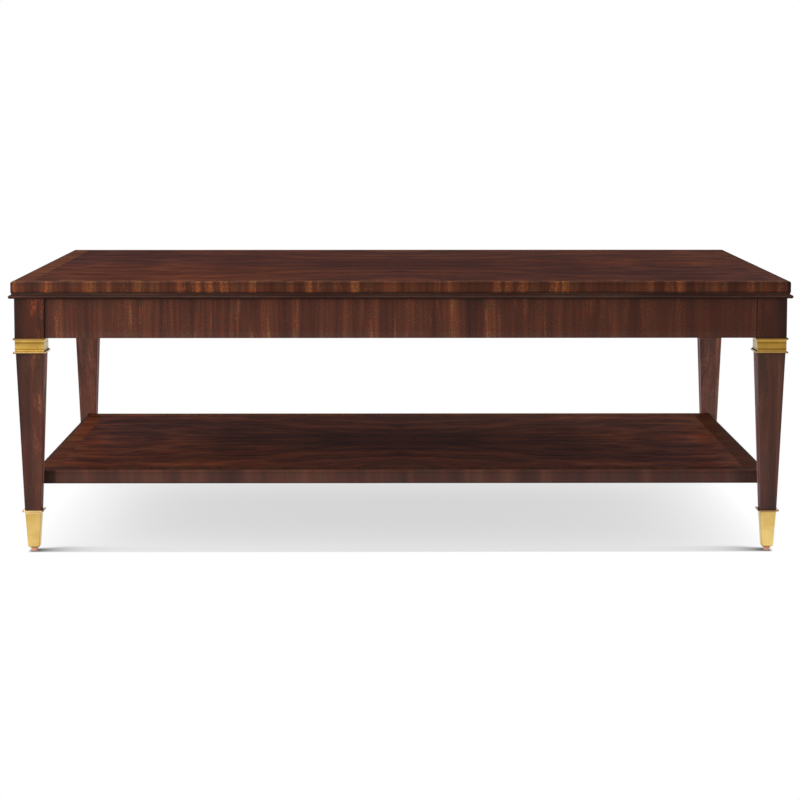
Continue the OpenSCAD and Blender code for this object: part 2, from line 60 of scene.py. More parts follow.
class Graph:
    """Short calls that build one node tree. A value is a number, a tuple or a socket."""

    def __init__(self, tree):
        self.tree = tree

    def node(self, kind, inputs=(), **settings):
        made = self.tree.nodes.new(kind)
        for name, value in settings.items():
            setattr(made, name, value)
        for key, value in dict(inputs).items():
            self.feed(made.inputs[key], value)
        return made

    def feed(self, socket, value):
        if isinstance(value, bpy.types.NodeSocket):
            self.tree.links.new(value, socket)
        else:
            socket.default_value = value

    def math(self, operation, a, b=0.0):
        return self.node("ShaderNodeMath", {0: a, 1: b}, operation=operation).outputs[0]

    def add(self, a, b):
        return self.math("ADD", a, b)

    def sub(self, a, b):
        return self.math("SUBTRACT", a, b)

    def mul(self, a, b):
        return self.math("MULTIPLY", a, b)

    def abs(self, a):
        return self.math("ABSOLUTE", a)

    def swing(self, value, amount):
        """A value around 0.5 becomes one around 0, times amount."""
        return self.mul(self.add(value, -0.5), amount)

    def spread(self, value, low, high, to_low=0.0, to_high=1.0, smooth=True):
        """Maps low..high to to_low..to_high, held at both ends."""
        made = self.node(
            "ShaderNodeMapRange",
            {"Value": value, "From Min": low, "From Max": high, "To Min": to_low, "To Max": to_high},
            interpolation_type="SMOOTHSTEP" if smooth else "LINEAR",
        )
        return made.outputs[0]

    def share(self, value, low, high, amount):
        """0 up to low and amount from high on, with a straight line between them."""
        return self.mul(self.spread(value, low, high, smooth=False), amount)

    def join(self, x, y, z):
        return self.node("ShaderNodeCombineXYZ", {0: x, 1: y, 2: z}).outputs[0]

    def noise(self, vector, scale=1.0, detail=2.0, rough=0.5):
        made = self.node(
            "ShaderNodeTexNoise",
            {"Vector": vector, "Scale": scale, "Detail": detail, "Roughness": rough},
        )
        return made.outputs["Fac"]

    def figure(self, x, y, z, detail=2.0, rough=0.5):
        """Noise through x, y and z, each of them a value or (value, repeats per metre)."""
        parts = (self.mul(*part) if isinstance(part, tuple) else part for part in (x, y, z))
        return self.noise(self.join(*parts), detail=detail, rough=rough)

    def ramp(self, value, stops):
        """Colour ramp through (place, colour) stops."""
        made = self.node("ShaderNodeValToRGB", {"Fac": value})
        elements = made.color_ramp.elements
        while len(elements) < len(stops):
            elements.new(0.5)
        for element, (place, colour) in zip(elements, stops):
            element.position, element.color = place, colour
        return made.outputs["Color"]

    def blend(self, factor, a, b, mode="MIX"):
        made = self.node("ShaderNodeMix", data_type="RGBA", blend_type=mode)
        for index, value in ((0, factor), (6, a), (7, b)):
            self.feed(made.inputs[index], value)
        return made.outputs[2]

    def times(self, colour, tint):
        return self.blend(1.0, colour, tint, "MULTIPLY")

    def place(self):
        """x, y and z in the row frame, in metres."""
        where = self.node("ShaderNodeTexCoord").outputs["Object"]
        return self.node("ShaderNodeSeparateXYZ", {0: where}).outputs

    def bump(self, height, distance, strength):
        made = self.node(
            "ShaderNodeBump", {"Height": height, "Distance": distance, "Strength": strength}
        )
        return made.outputs["Normal"]


def material(name):
    made = bpy.data.materials.new(name)
    made.use_nodes = True
    return made, Graph(made.node_tree), made.node_tree.nodes["Principled BSDF"]


# ---------------------------------------------------------------- tints

TURN = 0.3                  # from x = -TURN to TURN the left side's looks turn into the right's
LONG_TURN = (-0.3, 0.5)     # the same for some of the legs' and ferrules' tints


def rightward(g, x):
    """0 on the table's left, 1 on its right."""
    return g.spread(x, -TURN, TURN)


def leftward(g, x, start=0.0):
    """Start on the table's right, 1 on its left."""
    return g.spread(x, TURN, -TURN, start, 1.0)


def inner_side(g, x):
    """1 on the sides that face the table's middle along x, else 0."""
    normal = g.node("ShaderNodeTexCoord").outputs["Normal"]
    facing = g.node("ShaderNodeSeparateXYZ", {0: normal}).outputs[0]
    return g.spread(g.mul(facing, g.math("SIGN", x)), -0.6, -0.95)


def past(g, value, limit):
    """1 where value is beyond the limit, else 0."""
    return g.spread(value, limit - 0.2 * MM, limit + 0.2 * MM)


def tint_of(level):
    """Linear tint from one level or from three."""
    return (*level, 1.0) if isinstance(level, tuple) else (level, level, level, 1.0)


def fading(g, value, low, high, start, end):
    """Tint that goes from start to end while value goes from low to high."""
    return g.blend(g.spread(value, low, high), tint_of(start), tint_of(end))


def where(g, mask, level):
    """The level's tint where the mask is 1, none where it is 0."""
    return fading(g, mask, 0.0, 1.0, 1.0, level)


def only(g, mask, tint):
    """A tint that is already made, where the mask is 1, and none where it is 0."""
    return g.blend(mask, tint_of(1.0), tint)


def layers(g, z, stops):
    """Tint that changes with height: (height in mm, level) stops."""
    low, high = stops[0][0], stops[-1][0]
    level = g.spread(z, low * MM, high * MM, smooth=False)
    return g.ramp(level, [((at - low) / (high - low), tint_of(v)) for at, v in stops])


def raised(stops, base):
    """Stops whose heights count from base, in metres, as heights above the floor."""
    return tuple((base / MM + at, level) for at, level in stops)


def tinted(g, tints):
    """Product of the tints, or None if there are none."""
    product = None
    for tint in tints:
        product = tint if product is None else g.times(product, tint)
    return product


# ---------------------------------------------------------------- woods

LACQUER = 0.15              # coat weight of the rails, the mouldings and the long edges
FLAT_LACQUER = 0.035        # of the flat veneers and the short edges
LEG_LACQUER = 0.2
COAT_ROUGHNESS = 0.38
PORE_STRENGTH = 0.38
PORE_SHADE = 0.45           # share of the palette's darkest colour
GRAIN_BUMP = 0.05 * MM
TONE_STOPS = (0.05, 0.40, 0.62, 1.0)
MID_TONE = 0.45             # what a calmed figure comes back to
RUSSET = (1.075, 0.965, 0.96, 1.0)      # the hue wanders between these two
OLIVE = (0.94, 1.035, 1.02, 1.0)
END_FADE = 5 * MM           # over how much the tint of a rail's or an edge's ends comes in

# sRGB palettes from the darkest tone to the lightest.
FIELD = ((50, 29, 28), (76, 42, 36), (96, 53, 41), (128, 73, 46))
BAND = ((68, 38, 28), (98, 55, 38), (118, 69, 46), (140, 86, 54))
EDGE = ((54, 27, 18), (77, 40, 26), (102, 56, 34), (162, 92, 42))
APRON = ((48, 29, 25), (78, 43, 32), (96, 54, 38), (138, 82, 50))
SHELF_EDGE = ((52, 36, 34), (72, 46, 40), (88, 56, 46), (112, 72, 54))
MOULDING = ((38, 22, 18), (54, 33, 27), (66, 42, 34), (82, 54, 44))
LEG_WOOD = ((48, 29, 24), (76, 46, 37), (92, 55, 43), (142, 84, 54))
BOARD = ((150, 118, 80), (176, 142, 100), (190, 158, 116), (206, 176, 134))
TIMBER = ((168, 130, 88), (192, 156, 110), (206, 172, 126), (220, 190, 146))

# Bands of tint: (height in mm, level) stops, from the lowest one up.
# Top edge: a painted highlight on the front arris, painted shade just under it and along the slab's
# foot; the short edges get painted shade at the foot and along the top.
ARRIS_SHEEN = (1.4, 1.8, 2.3)
EDGE_HEIGHTS = ((462, 0.45), (463.4, 0.5), (465, 0.95), (474, 0.95), (476, 0.78), (480.2, 0.74),
                (481.0, ARRIS_SHEEN), (482, ARRIS_SHEEN))
EDGE_SIDE_HEIGHTS = ((462, 0.45), (463.4, 0.5), (465, 0.95), (475, 0.9), (478, 0.5), (482, 0.5))
# Moulding: painted shade on its lower part and a painted highlight on the bead.
BEAD_HEIGHTS = ((452, 0.55), (454.3, 0.6), (455.4, 1.5), (457, 1.4), (458.5, 0.95), (462, 1.0))
# Rails: a painted highlight on the lower arris (RAIL_FOOT) and painted shade that deepens upwards
# under the moulding.
RAIL_FOOT = (1.12, 1.3, 1.45)
RAIL_HEIGHTS = raised(
    ((-75, RAIL_FOOT), (-70.5, RAIL_FOOT), (-67, 1.05), (-45, 1.02), (-30, 0.98), (-20, 0.94),
     (-12, 0.90), (-8, 0.85), (-4, 0.74), (0, 0.7)),
    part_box("apron_front")[1].z,
)
# Shelf edge: a painted highlight on the front arris, painted shade just under it and along the foot;
# the short edges get painted shade at the foot and near the top.
SHELF_ARRIS = (1.15, 1.0, 0.9)
SHELF_HEIGHTS = ((117.5, 0.7), (119, 0.75), (120.5, 1.08), (134, 1.0), (135.5, 0.78),
                 (137.6, 0.8), (138.6, SHELF_ARRIS), (141.5, SHELF_ARRIS))
SHELF_SIDE_HEIGHTS = ((117.5, 0.75), (120, 1.0), (136, 1.0), (138.5, 0.8), (141.5, 0.9))


def finish_wood(g, shader, tone, palette, grain, tint=None, lacquer=LACQUER):
    """Colour from tone (0 dark, 1 light), pores along the grain, lacquer and bump."""
    along, across, depth = grain
    pores = g.figure((along, 90), (across, 1500), (depth, 1500), detail=1.0)
    pores = g.spread(pores, 0.60, 0.72)
    fibre = g.figure((along, 40), (across, 620), (depth, 620), rough=0.6)
    tone = g.add(tone, g.spread(fibre, 0.3, 0.7, -0.06, 0.06))
    colour = g.ramp(tone, [(at, srgb(*stop)) for at, stop in zip(TONE_STOPS, palette)])
    hue = g.figure((along, 5), (across, 60), (depth, 60))
    colour = g.times(colour, g.blend(g.spread(hue, 0.35, 0.65), RUSSET, OLIVE))
    pore_colour = srgb(*(PORE_SHADE * c for c in palette[0]))
    colour = g.blend(g.mul(pores, PORE_STRENGTH), colour, pore_colour)
    if tint is not None:
        colour = g.times(colour, tint)
    g.feed(shader.inputs["Base Color"], colour)
    g.feed(shader.inputs["Roughness"], g.spread(fibre, 0.25, 0.75, 0.62, 0.74))
    shader.inputs["Specular IOR Level"].default_value = 0.0
    shader.inputs["Coat Weight"].default_value = lacquer
    shader.inputs["Coat Roughness"].default_value = COAT_ROUGHNESS
    height = g.add(g.mul(pores, -1.0), g.mul(fibre, 0.3))
    g.feed(shader.inputs["Normal"], g.bump(height, GRAIN_BUMP, 0.6))


def ribbons(g, across, along, broad, fine, seed, line):
    """Tone of striped grain: broad ribbons, with finer lines that take up the share line."""
    wide = g.figure((across, broad), (along, 1.5), seed, detail=1.0)
    narrow = g.figure((across, fine), (along, 3.0), seed + 5, detail=4.0, rough=0.6)
    return g.add(g.share(wide, 0.3, 0.7, 0.82 - line), g.share(narrow, 0.3, 0.7, line))


def flecks(g, along, across, seed, repeats):
    """Short bright dashes that lie along the grain."""
    spots = g.figure((along, repeats), (across, 330), seed + 13, rough=0.6)
    return g.spread(spots, 0.34, 0.68)


ARCH_BLUNT, ARCH_STEEP, ARCH_RISE = 0.04, 3.2, 0.12     # of the flame, in m, 1/m and m
ARCH_SWAY = 0.22            # m, how far the noise moves it
LEAF_TINTS = ((0.10, 1.02), (0.05, 1.0), (-0.03, 0.99))    # swing and level of red, green and blue
# Painted light on the flat fields: warmer and lighter near the front left, cooler towards the back
# right.
NEAR_LEFT_TINT = (1.16, 1.09, 0.92)
FAR_RIGHT_TINT = (0.96, 1.09, 1.15)


def matched_field(name, leaf, seed, right, contrast=1.0):
    """Flame veneer in four leaves, mirrored about both middle lines.

    right is the tint at the right end."""
    made, g, shader = material(name)
    x, y, z = g.place()
    a, b = g.abs(x), g.abs(y)
    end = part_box(leaf)[1].x
    sway = g.swing(g.figure((a, 3.0), (b, 3.4), seed, detail=3.0), ARCH_SWAY)
    rise = g.math("SQRT", g.add(g.mul(a, a), ARCH_BLUNT ** 2))
    rise = g.mul(g.math("TANH", g.mul(rise, ARCH_STEEP)), ARCH_RISE)
    across = g.add(g.sub(b, rise), sway)
    broad = g.figure((a, 5.5), (across, 14), seed)
    ribbon = g.figure((a, 13.0), (across, 40), seed + 3, detail=4.0, rough=0.62)
    flame = g.figure((a, 26), (across, 110), seed + 7, rough=0.55)
    thread = g.figure((a, 20), (across, 520), seed + 13, rough=0.6)
    tone = g.add(g.share(broad, 0.34, 0.66, 0.46), g.share(ribbon, 0.3, 0.7, 0.44))
    tone = g.add(tone, g.swing(flame, 0.5))
    tone = g.add(tone, g.swing(thread, 0.32))
    heart = g.spread(g.add(g.mul(a, 2.4), g.mul(b, 3.0)), 0.0, 0.8, 0.10, -0.04)
    tone = g.add(g.mul(g.sub(tone, heart), contrast), MID_TONE * (1 - contrast))
    # Darker patches near the leaves' outer ends, more on the left.
    end_darkening = g.figure((a, 4), (across, 24), seed + 11)
    end_darkening = g.mul(g.spread(end_darkening, 0.40, 0.56, 1.0, 0.3), g.spread(a, end - 0.20, end - 0.01))
    tone = g.sub(tone, g.mul(end_darkening, g.spread(x, -0.3, 0.4, 0.24, 0.05)))
    side = g.mul(g.mul(g.math("SIGN", x), g.math("SIGN", y)), g.spread(a, 0.02, 0.5))
    channels = {i: g.add(g.mul(side, swing), level) for i, (swing, level) in enumerate(LEAF_TINTS)}
    # Painted light: the tint towards the right end (right), the warmer front left and the cooler back
    # right.
    near_left = g.mul(g.spread(x, 0.0, -0.35), g.spread(y, 0.05, -0.25))
    far_right = g.mul(g.spread(x, -0.25, 0.1), g.spread(y, 0.0, 0.25))
    tint = tinted(g, (
        g.node("ShaderNodeCombineColor", channels).outputs[0],
        fading(g, x, 0.0, end, 1.0, right),
        where(g, near_left, NEAR_LEFT_TINT),
        where(g, far_right, FAR_RIGHT_TINT),
    ))
    finish_wood(g, shader, tone, FIELD, (a, across, z), tint, FLAT_LACQUER)
    return made


def with_flecks(g, mask, along, across, seed, strength, plain):
    """Tone of light figure: flecks over a plain share of the strength, where the mask is 1."""
    spots = flecks(g, along, across, seed, 260)
    return g.mul(mask, g.add(g.mul(spots, strength), plain * strength))


def light_patches(g, along, across, seed, strength):
    """Short light patches with frayed edges."""
    cell = g.node("ShaderNodeTexVoronoi", {"W": g.add(across, seed), "Scale": 40.0,
                                           "Randomness": 0.85}, voronoi_dimensions="1D")
    chance = g.node("ShaderNodeSeparateColor", {0: cell.outputs["Color"]}).outputs[0]
    fray = g.figure((across, 150), (along, 60), seed + 9)
    reach = g.add(cell.outputs["Distance"], g.swing(fray, 0.30))
    patch = g.mul(g.spread(reach, 0.24, 0.38, 1.0, 0.0), g.spread(chance, 0.05, 0.9, 0.15, 1.0))
    return with_flecks(g, patch, along, across, seed, strength, 0.45)


def light_streaks(g, along, across, seed, strength):
    """Long light streaks that come and go along the grain."""
    streak = g.figure((across, 62), (along, 4), seed + 17, detail=3.0, rough=0.6)
    reach = g.figure((across, 14), (along, 16), seed + 19)
    streak = g.mul(g.spread(streak, 0.52, 0.66), g.spread(reach, 0.36, 0.60, 0.3, 1.0))
    return with_flecks(g, streak, along, across, seed, strength, 0.5)


def fine_specks(g, along, across, seed, strength):
    """Light and dark specks, stronger in some places."""
    dots = g.figure((along, 330), (across, 560), seed + 23, rough=0.7)
    lively = g.figure((along, 22), (across, 30), seed + 29, detail=1.0)
    dots = g.mul(g.spread(dots, 0.32, 0.68, -0.5, 0.5), g.spread(lively, 0.4, 0.6, 0.35, 1.0))
    return g.mul(dots, strength)


def along_first(run, x, y):
    """The coordinate that run names, then the other one."""
    return (x, y) if run == "x" else (y, x)


def striped(name, run, palette, seed, broad=22, fine=95, line=0.40, streaks=0.0, patches=0.0,
            specks=0.0, lift=0.0, lacquer=LACQUER, heights=None, ends=None, fade=None, calm=None):
    """Cross-grained wood whose stripes follow each other along the axis that run names.

    ends is (place, left level, right level), for all that lies from there outwards:
    painted shade at the ends, and a painted highlight where a level is above 1.
    fade is (axis, low, high, start, end), a painted gradient of light and shade.
    calm is the share of the figure that is lost on the left and on the right."""
    made, g, shader = material(name)
    x, y, z = g.place()
    place, other = along_first(run, x, y)
    along = g.add(other, z)
    drift = g.figure((place, 9), (along, 9), seed, detail=1.0)
    across = g.add(place, g.swing(drift, 0.006))
    tone = g.add(ribbons(g, across, along, broad, fine, seed, line), lift)
    if patches:
        tone = g.add(tone, light_patches(g, along, across, seed, patches))
    if streaks:
        tone = g.add(tone, light_streaks(g, along, across, seed, streaks))
    if calm:
        kept = g.spread(x, 0.0, 0.6, *(1.0 - share for share in calm))
        tone = g.add(g.mul(g.add(tone, -MID_TONE), kept), MID_TONE)
    if specks:
        tone = g.add(tone, fine_specks(g, along, across, seed, specks))
    tints = [layers(g, z, heights)] if heights else []
    if ends:
        tints.append(only(g, g.spread(g.abs(place), ends[0] - END_FADE, ends[0]),
                          fading(g, x, -TURN, TURN, *ends[1:])))
    if fade:
        tints.append(fading(g, along_first(fade[0], x, y)[0], *fade[1:]))
    finish_wood(g, shader, tone, palette, (along, across, z), tinted(g, tints), lacquer)
    return made


def lengthwise(name, run, palette, seed, heights=None):
    """Straight-grained wood that runs along the axis that run names."""
    made, g, shader = material(name)
    x, y, z = g.place()
    along, other = along_first(run, x, y)
    broad = g.figure((along, 6), (other, 60), (z, 60))
    fine = g.figure((along, 9), (other, 240), g.add(g.mul(z, 240), seed), detail=3.0)
    tone = g.add(g.share(broad, 0.25, 0.75, 0.45), g.share(fine, 0.25, 0.75, 0.38))
    tint = layers(g, z, heights) if heights else None
    finish_wood(g, shader, tone, palette, (along, other, z), tint)
    return made


def bare_timber(name, palette, run="x"):
    """Planed timber or board with no lacquer, its grain along the axis that run names."""
    made, g, shader = material(name)
    x, y, z = g.place()
    along, other = along_first(run, x, y)
    rings = g.figure((along, 2.5), (other, 55), (z, 90), detail=3.0, rough=0.6)
    tone = g.spread(rings, 0.25, 0.75, 0.05, 0.95, smooth=False)
    finish_wood(g, shader, tone, palette, (along, other, z), lacquer=0.0)
    return made


# ---------------------------------------------------------------- legs

FOOT_TINT = 0.05                        # m above the ferrule that the tint there reaches
LIVELY_FOOT, LIVELY_HEAD = 0.16, 0.1    # m from the ferrule up, and from the collar's head down
SHOULDER = (0.185, 0.245)               # heights between which the left legs' shading sets in
OUTER_ARRIS = (0.009, 0.015)            # m outside the leg's middle
POST_ARRIS = (-0.010, -0.024)           # m, the post's arris beside the rail

# A pair holds the levels that a tint starts and ends with.
# Painted light and shade up the taper: lighter and greyer at the foot, darker under the collar.
TAPER_LEFT = ((1.08, 1.09, 1.13), (0.80, 0.82, 0.82))       # from the ferrule up, left legs
TAPER_RIGHT = ((1.13, 1.31, 1.46), (0.75, 0.88, 0.90))      # from the ferrule up, right legs
# Painted shade just above the ferrule.
ABOVE_FERRULE = ((0.82, 0.86, 1.0), 1.0)
# Painted shade on the outer side of the left legs' upper taper.
LEFT_SHOULDER = ((1.08, 1.05, 1.03), (0.74, 0.83, 0.86))    # left legs from inside to outside
# Painted highlight on the right legs' outer arris.
RIGHT_RIM = (1.4, 1.45, 1.38)                               # outer arris of the right legs
POST_OUTER = ((0.53, 0.42, 0.34), (0.46, 0.40, 0.37))       # from the left legs to the right ones
POST_INNER = ((0.61, 0.47, 0.37), (0.49, 0.42, 0.35))
# Painted highlight on the right legs' posts beside the rail.
POST_CORNER = (1.5, 1.35, 1.15)                             # right legs' posts beside the rail
# Lighter on the inner parts along x: partly the flame figure's tone, partly painted light.
INNER_X = ((1.2, 1.12, 1.05), (1.12, 1.08, 1.08))           # inner halves, lively to hushed
# Painted reflection on the sides that face the middle along x.
INNER_X_SIDE = (1.85, 2.15, 2.7)                            # sides that face the middle along x
# Painted light on the halves towards the middle along y, more on the right.
INNER_Y = (1.75, 1.75, 1.8)                                 # halves towards the middle along y
INNER_Y_RIGHT = (1.35, 1.4, 1.45)


def leg_tone(g, seed, y, z, skewed, inner, hushed):
    """Ribbons up the leg, and flecked flame on the halves towards the table's middle."""
    ax, ay = skewed
    twist = g.add(ax, ay)
    grain = ribbons(g, twist, z, broad=40, fine=190, seed=seed, line=0.24)
    tone = g.add(g.mul(grain, 0.72), 0.10)
    cloud = g.figure((ax, 45), (ay, 45), g.add(g.mul(z, 14), seed), detail=3.0, rough=0.6)
    flame = g.mul(g.spread(cloud, 0.42, 0.60), g.add(g.mul(inner, 0.85), 0.15))
    spots = flecks(g, z, twist, seed, 150)
    lively = g.add(g.spread(z, FERRULE_RIM, FERRULE_RIM + LIVELY_FOOT, 0.4, 1.2),
                   g.spread(z, COLLAR_HEAD - LIVELY_HEAD, COLLAR_HEAD, 0.0, 0.6))
    flame = g.mul(flame, g.mul(lively, g.spread(hushed, 0.0, 1.0, 1.2, 0.45)))
    flame = g.mul(flame, g.spread(y, -0.2, 0.2, 1.0, 0.7))
    return g.add(tone, g.mul(flame, g.add(g.mul(spots, 0.26), 0.05)))


def leg_body(g, x, z, lx, across_x):
    """Tint of the taper below the collar, with its painted light and shade, and of the post above it.
    """
    rise = (g, z, FERRULE_RIM, COLLAR_HEAD)
    outwards = fading(g, lx, -0.010, 0.008, *LEFT_SHOULDER)
    taper = tinted(g, (
        g.blend(g.spread(x, -0.5, 0.5), fading(*rise, *TAPER_LEFT), fading(*rise, *TAPER_RIGHT)),
        fading(g, z, FERRULE_RIM, FERRULE_RIM + FOOT_TINT, *ABOVE_FERRULE),
        only(g, g.mul(g.spread(z, *SHOULDER), leftward(g, x)), outwards),
        where(g, g.mul(g.spread(lx, *OUTER_ARRIS), rightward(g, x)), RIGHT_RIM),
    ))
    across = (g, x, *LONG_TURN)
    post = g.blend(across_x, fading(*across, *POST_OUTER), fading(*across, *POST_INNER))
    return g.blend(g.spread(z, COLLAR_HEAD - 0.004, COLLAR_HEAD), taper, post)


def upright(name, seed):
    """Leg timber: upright grain, flecked and lighter on the sides towards the table's middle, partly
    by painted light and a painted reflection.
    """
    made, g, shader = material(name)
    x, y, z = g.place()
    lx, ly = g.add(g.abs(x), -LEG.x), g.add(g.abs(y), -LEG.y)
    bend = g.swing(g.figure((lx, 12), (ly, 12), (z, 5)), 0.02)
    ax, ay = g.add(lx, bend), g.add(ly, bend)
    across_x, across_y = g.spread(lx, 0.006, -0.014), g.spread(ly, 0.004, -0.02)
    inner = g.math("MAXIMUM", across_x, across_y)
    hushed = g.mul(rightward(g, x), g.spread(y, 0.2, -0.2))     # the front right leg is plainer
    tone = leg_tone(g, seed, y, z, (ax, ay), inner, hushed)
    beside_rail = g.mul(g.spread(z, COLLAR_HEAD, COLLAR_HEAD + 0.002), rightward(g, x))
    tint = tinted(g, (
        leg_body(g, x, z, lx, across_x),
        only(g, across_x, fading(g, hushed, 0.0, 1.0, *INNER_X)),
        where(g, inner_side(g, x), INNER_X_SIDE),
        where(g, across_y, INNER_Y),
        only(g, across_y, fading(g, x, -TURN, TURN, 1.0, INNER_Y_RIGHT)),
        where(g, g.mul(g.spread(lx, *POST_ARRIS), beside_rail), POST_CORNER),
    ))
    finish_wood(g, shader, tone, LEG_WOOD, (z, ax, ay), tint, LEG_LACQUER)
    return made


# ---------------------------------------------------------------- metal and nylon

BRASS = ((213, 176, 101), (220, 184, 108), (227, 192, 117))
BRASS_BUMP = 0.006 * MM
STEEL = ((158, 160, 164), (190, 192, 194))
NYLON = ((204, 142, 116), (222, 164, 138))
NYLON_BUMP = 0.01 * MM

SPECULAR = 0.2

# Bands of tint in mm from the collar's foot, from its head and from the ferrule's rim: painted
# highlights on the flanges and the rims, painted shade at the collars' head and foot, in their coves
# and at the right ferrules' rims.
COLLAR_FOOT_BANDS = ((0, (0.2, 0.15, 0.12)), (1.05, (0.55, 0.52, 0.68)), (2.8, (1.75, 1.95, 3.2)),
                     (4.5, 1.2), (6.3, (0.48, 0.47, 0.39)), (8, (0.7, 0.65, 0.5)), (9.7, 1.05))
COLLAR_HEAD_BANDS = ((-10.7, 0.97), (-9, (0.64, 0.6, 0.45)), (-7.2, (0.74, 0.67, 0.42)),
                     (-5.5, (1.48, 1.53, 1.55)), (-3.7, (2.0, 2.3, 3.5)),
                     (-2, (0.63, 0.65, 0.9)), (0, (0.22, 0.15, 0.11)))
COLLAR_BANDS = raised(COLLAR_FOOT_BANDS, COLLAR_FOOT) + raised(COLLAR_HEAD_BANDS, COLLAR_HEAD)
# Painted shade: the collars are a darker copy of the brass, darker still on the right; COLLAR_INNER
# paints a reflection on their inner sides and FLANGE_END paints shade on the flanges' outer corners.
COLLAR_TINT = srgb(196, 188, 162)
COLLAR_RIGHT = (0.85, 0.79, 0.68)
COLLAR_INNER = (1.3, 1.5, 2.2)
FLANGE_END = (0.55, 0.55, 0.5)

LIT_RIM = raised(((-8, 1.0), (-6.7, (1.0, 1.05, 1.15)), (-4.9, (1.33, 1.42, 2.0)),
                  (-3.2, (1.32, 1.47, 2.3)), (-1.4, (0.92, 1.03, 1.8)), (0, (1.5, 1.6, 2.2))),
                 FERRULE_RIM)
RIM_SHADE = (0.33, 0.25, 0.33)
DIM_RIM = raised(((-10, 1.0), (-8, 0.93), (-6.2, 1.0), (-4.5, (0.89, 0.91, 1.04)),
                  (-2.8, (0.71, 0.71, 1.0)), (-1, RIM_SHADE), (0, RIM_SHADE)), FERRULE_RIM)
# Painted shade up each ferrule towards its rim, and painted light on the right ferrules.
FERRULE_TOP = (0.90, 0.90, 0.86)
FERRULE_RIGHT = (1.07, 1.12, 1.2)
# The lips' tips get painted shade and are less metallic.
LIP_END = (0.34, 0.32, 0.3)
LIP_METALLIC = 0.35
LIP_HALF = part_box("ferrule_back_right")[1].x - LEG.x - 2.4 * MM
LIP_DEPTH = 2 * MM


def brass_material():
    """Satin brass. The lip's tips are less metallic and painted darker, and the flanges' outer
    corners get painted shade, as in the photo.
    """
    made, g, shader = material("brass")
    x, y, z = g.place()
    cloud = g.noise(g.join(x, y, z), scale=38.0, detail=3.0, rough=0.6)
    brush = g.figure((x, 160), (y, 160), (z, 2600))
    colour = g.ramp(g.spread(cloud, 0.3, 0.7),
                    [(at, srgb(*stop)) for at, stop in zip((0.0, 0.5, 1.0), BRASS)])
    upper = g.math("GREATER_THAN", z, COLLAR_FOOT - 1 * MM)     # 1 on the collars, 0 on the ferrules
    collar = tinted(g, (
        layers(g, z, COLLAR_BANDS),
        COLLAR_TINT,
        fading(g, x, 0.0, 0.4, 1.0, COLLAR_RIGHT),
    ))
    ferrule = tinted(g, (
        fading(g, z, FERRULE_FOOT, FERRULE_RIM, 1.0, FERRULE_TOP),
        fading(g, x, *LONG_TURN, 1.0, FERRULE_RIGHT),
        g.blend(rightward(g, x), layers(g, z, LIT_RIM), layers(g, z, DIM_RIM)),
    ))
    lx = g.add(g.abs(x), -LEG.x)
    ly = g.abs(g.add(g.abs(y), -LEG.y))
    flange_end = g.mul(past(g, lx, POST_HALF), past(g, ly, POST_HALF))
    lip_end = g.mul(past(g, z, FERRULE_RIM - LIP_DEPTH), past(g, g.abs(lx), LIP_HALF))
    lip_end = g.mul(g.mul(lip_end, leftward(g, x, 0.3)), g.sub(1.0, upper))
    shade = tinted(g, (
        g.blend(upper, ferrule, collar),
        where(g, g.mul(upper, inner_side(g, x)), COLLAR_INNER),
        where(g, g.mul(flange_end, upper), FLANGE_END),
        where(g, lip_end, LIP_END),
    ))
    g.feed(shader.inputs["Base Color"], g.times(colour, shade))
    g.feed(shader.inputs["Metallic"], g.spread(lip_end, 0.0, 1.0, 1.0, LIP_METALLIC))
    shader.inputs["Specular IOR Level"].default_value = SPECULAR
    g.feed(shader.inputs["Roughness"], g.add(g.spread(cloud, 0.3, 0.7, 0.0, 0.07),
                                              g.spread(brush, 0.3, 0.7, 0.27, 0.33)))
    g.feed(shader.inputs["Normal"], g.bump(brush, BRASS_BUMP, 0.5))
    return made


def speckled(name, colours, repeats, detail, rough, metallic=0.0, specular=0.5, bump=0.0):
    """Steel or nylon: one fine noise sets the colour, the roughness and the bump."""
    made, g, shader = material(name)
    x, y, z = g.place()
    speck = g.noise(g.join(x, y, z), repeats, detail)
    stops = [(at, srgb(*stop)) for at, stop in zip((0.3, 0.7), colours)]
    g.feed(shader.inputs["Base Color"], g.ramp(speck, stops))
    g.feed(shader.inputs["Roughness"], g.spread(speck, 0.3, 0.7, *rough))
    shader.inputs["Metallic"].default_value = metallic
    shader.inputs["Specular IOR Level"].default_value = specular
    if bump:
        g.feed(shader.inputs["Normal"], g.bump(speck, bump, 0.3))
    return made


# ---------------------------------------------------------------- dressing the nodes

FOLD = math.radians(32)         # edges that fold more than this stay sharp
WELD = 0.001 * MM
BEVEL_STEPS = 2
BEVELS = {"leg": 0.35, "apron": 0.5, "collar": 0.35, "ferrule": 0.25, "corner": 0.6, "cross": 0.6}
FLAT_PIECES = ("_leaf_", "_band_", "veneer", "core")
# The painted shade and highlights at the ends of rails and edges start END_INSET in; on the shelf
# edge they start SHELF_INSET further in.
END_INSET = 2 * MM              # the darker ends of rails and edges start this far in
SHELF_INSET = 6 * MM


def dress(names, made):
    """Gives CAD nodes their material."""
    for name in names:
        mesh = nodes[name].data
        mesh.materials.clear()
        mesh.materials.append(made)
        for face in mesh.polygons:
            face.material_index = 0


def at_corners(*kinds):
    return [f"{kind}_{corner}" for kind in kinds for corner in CORNERS]


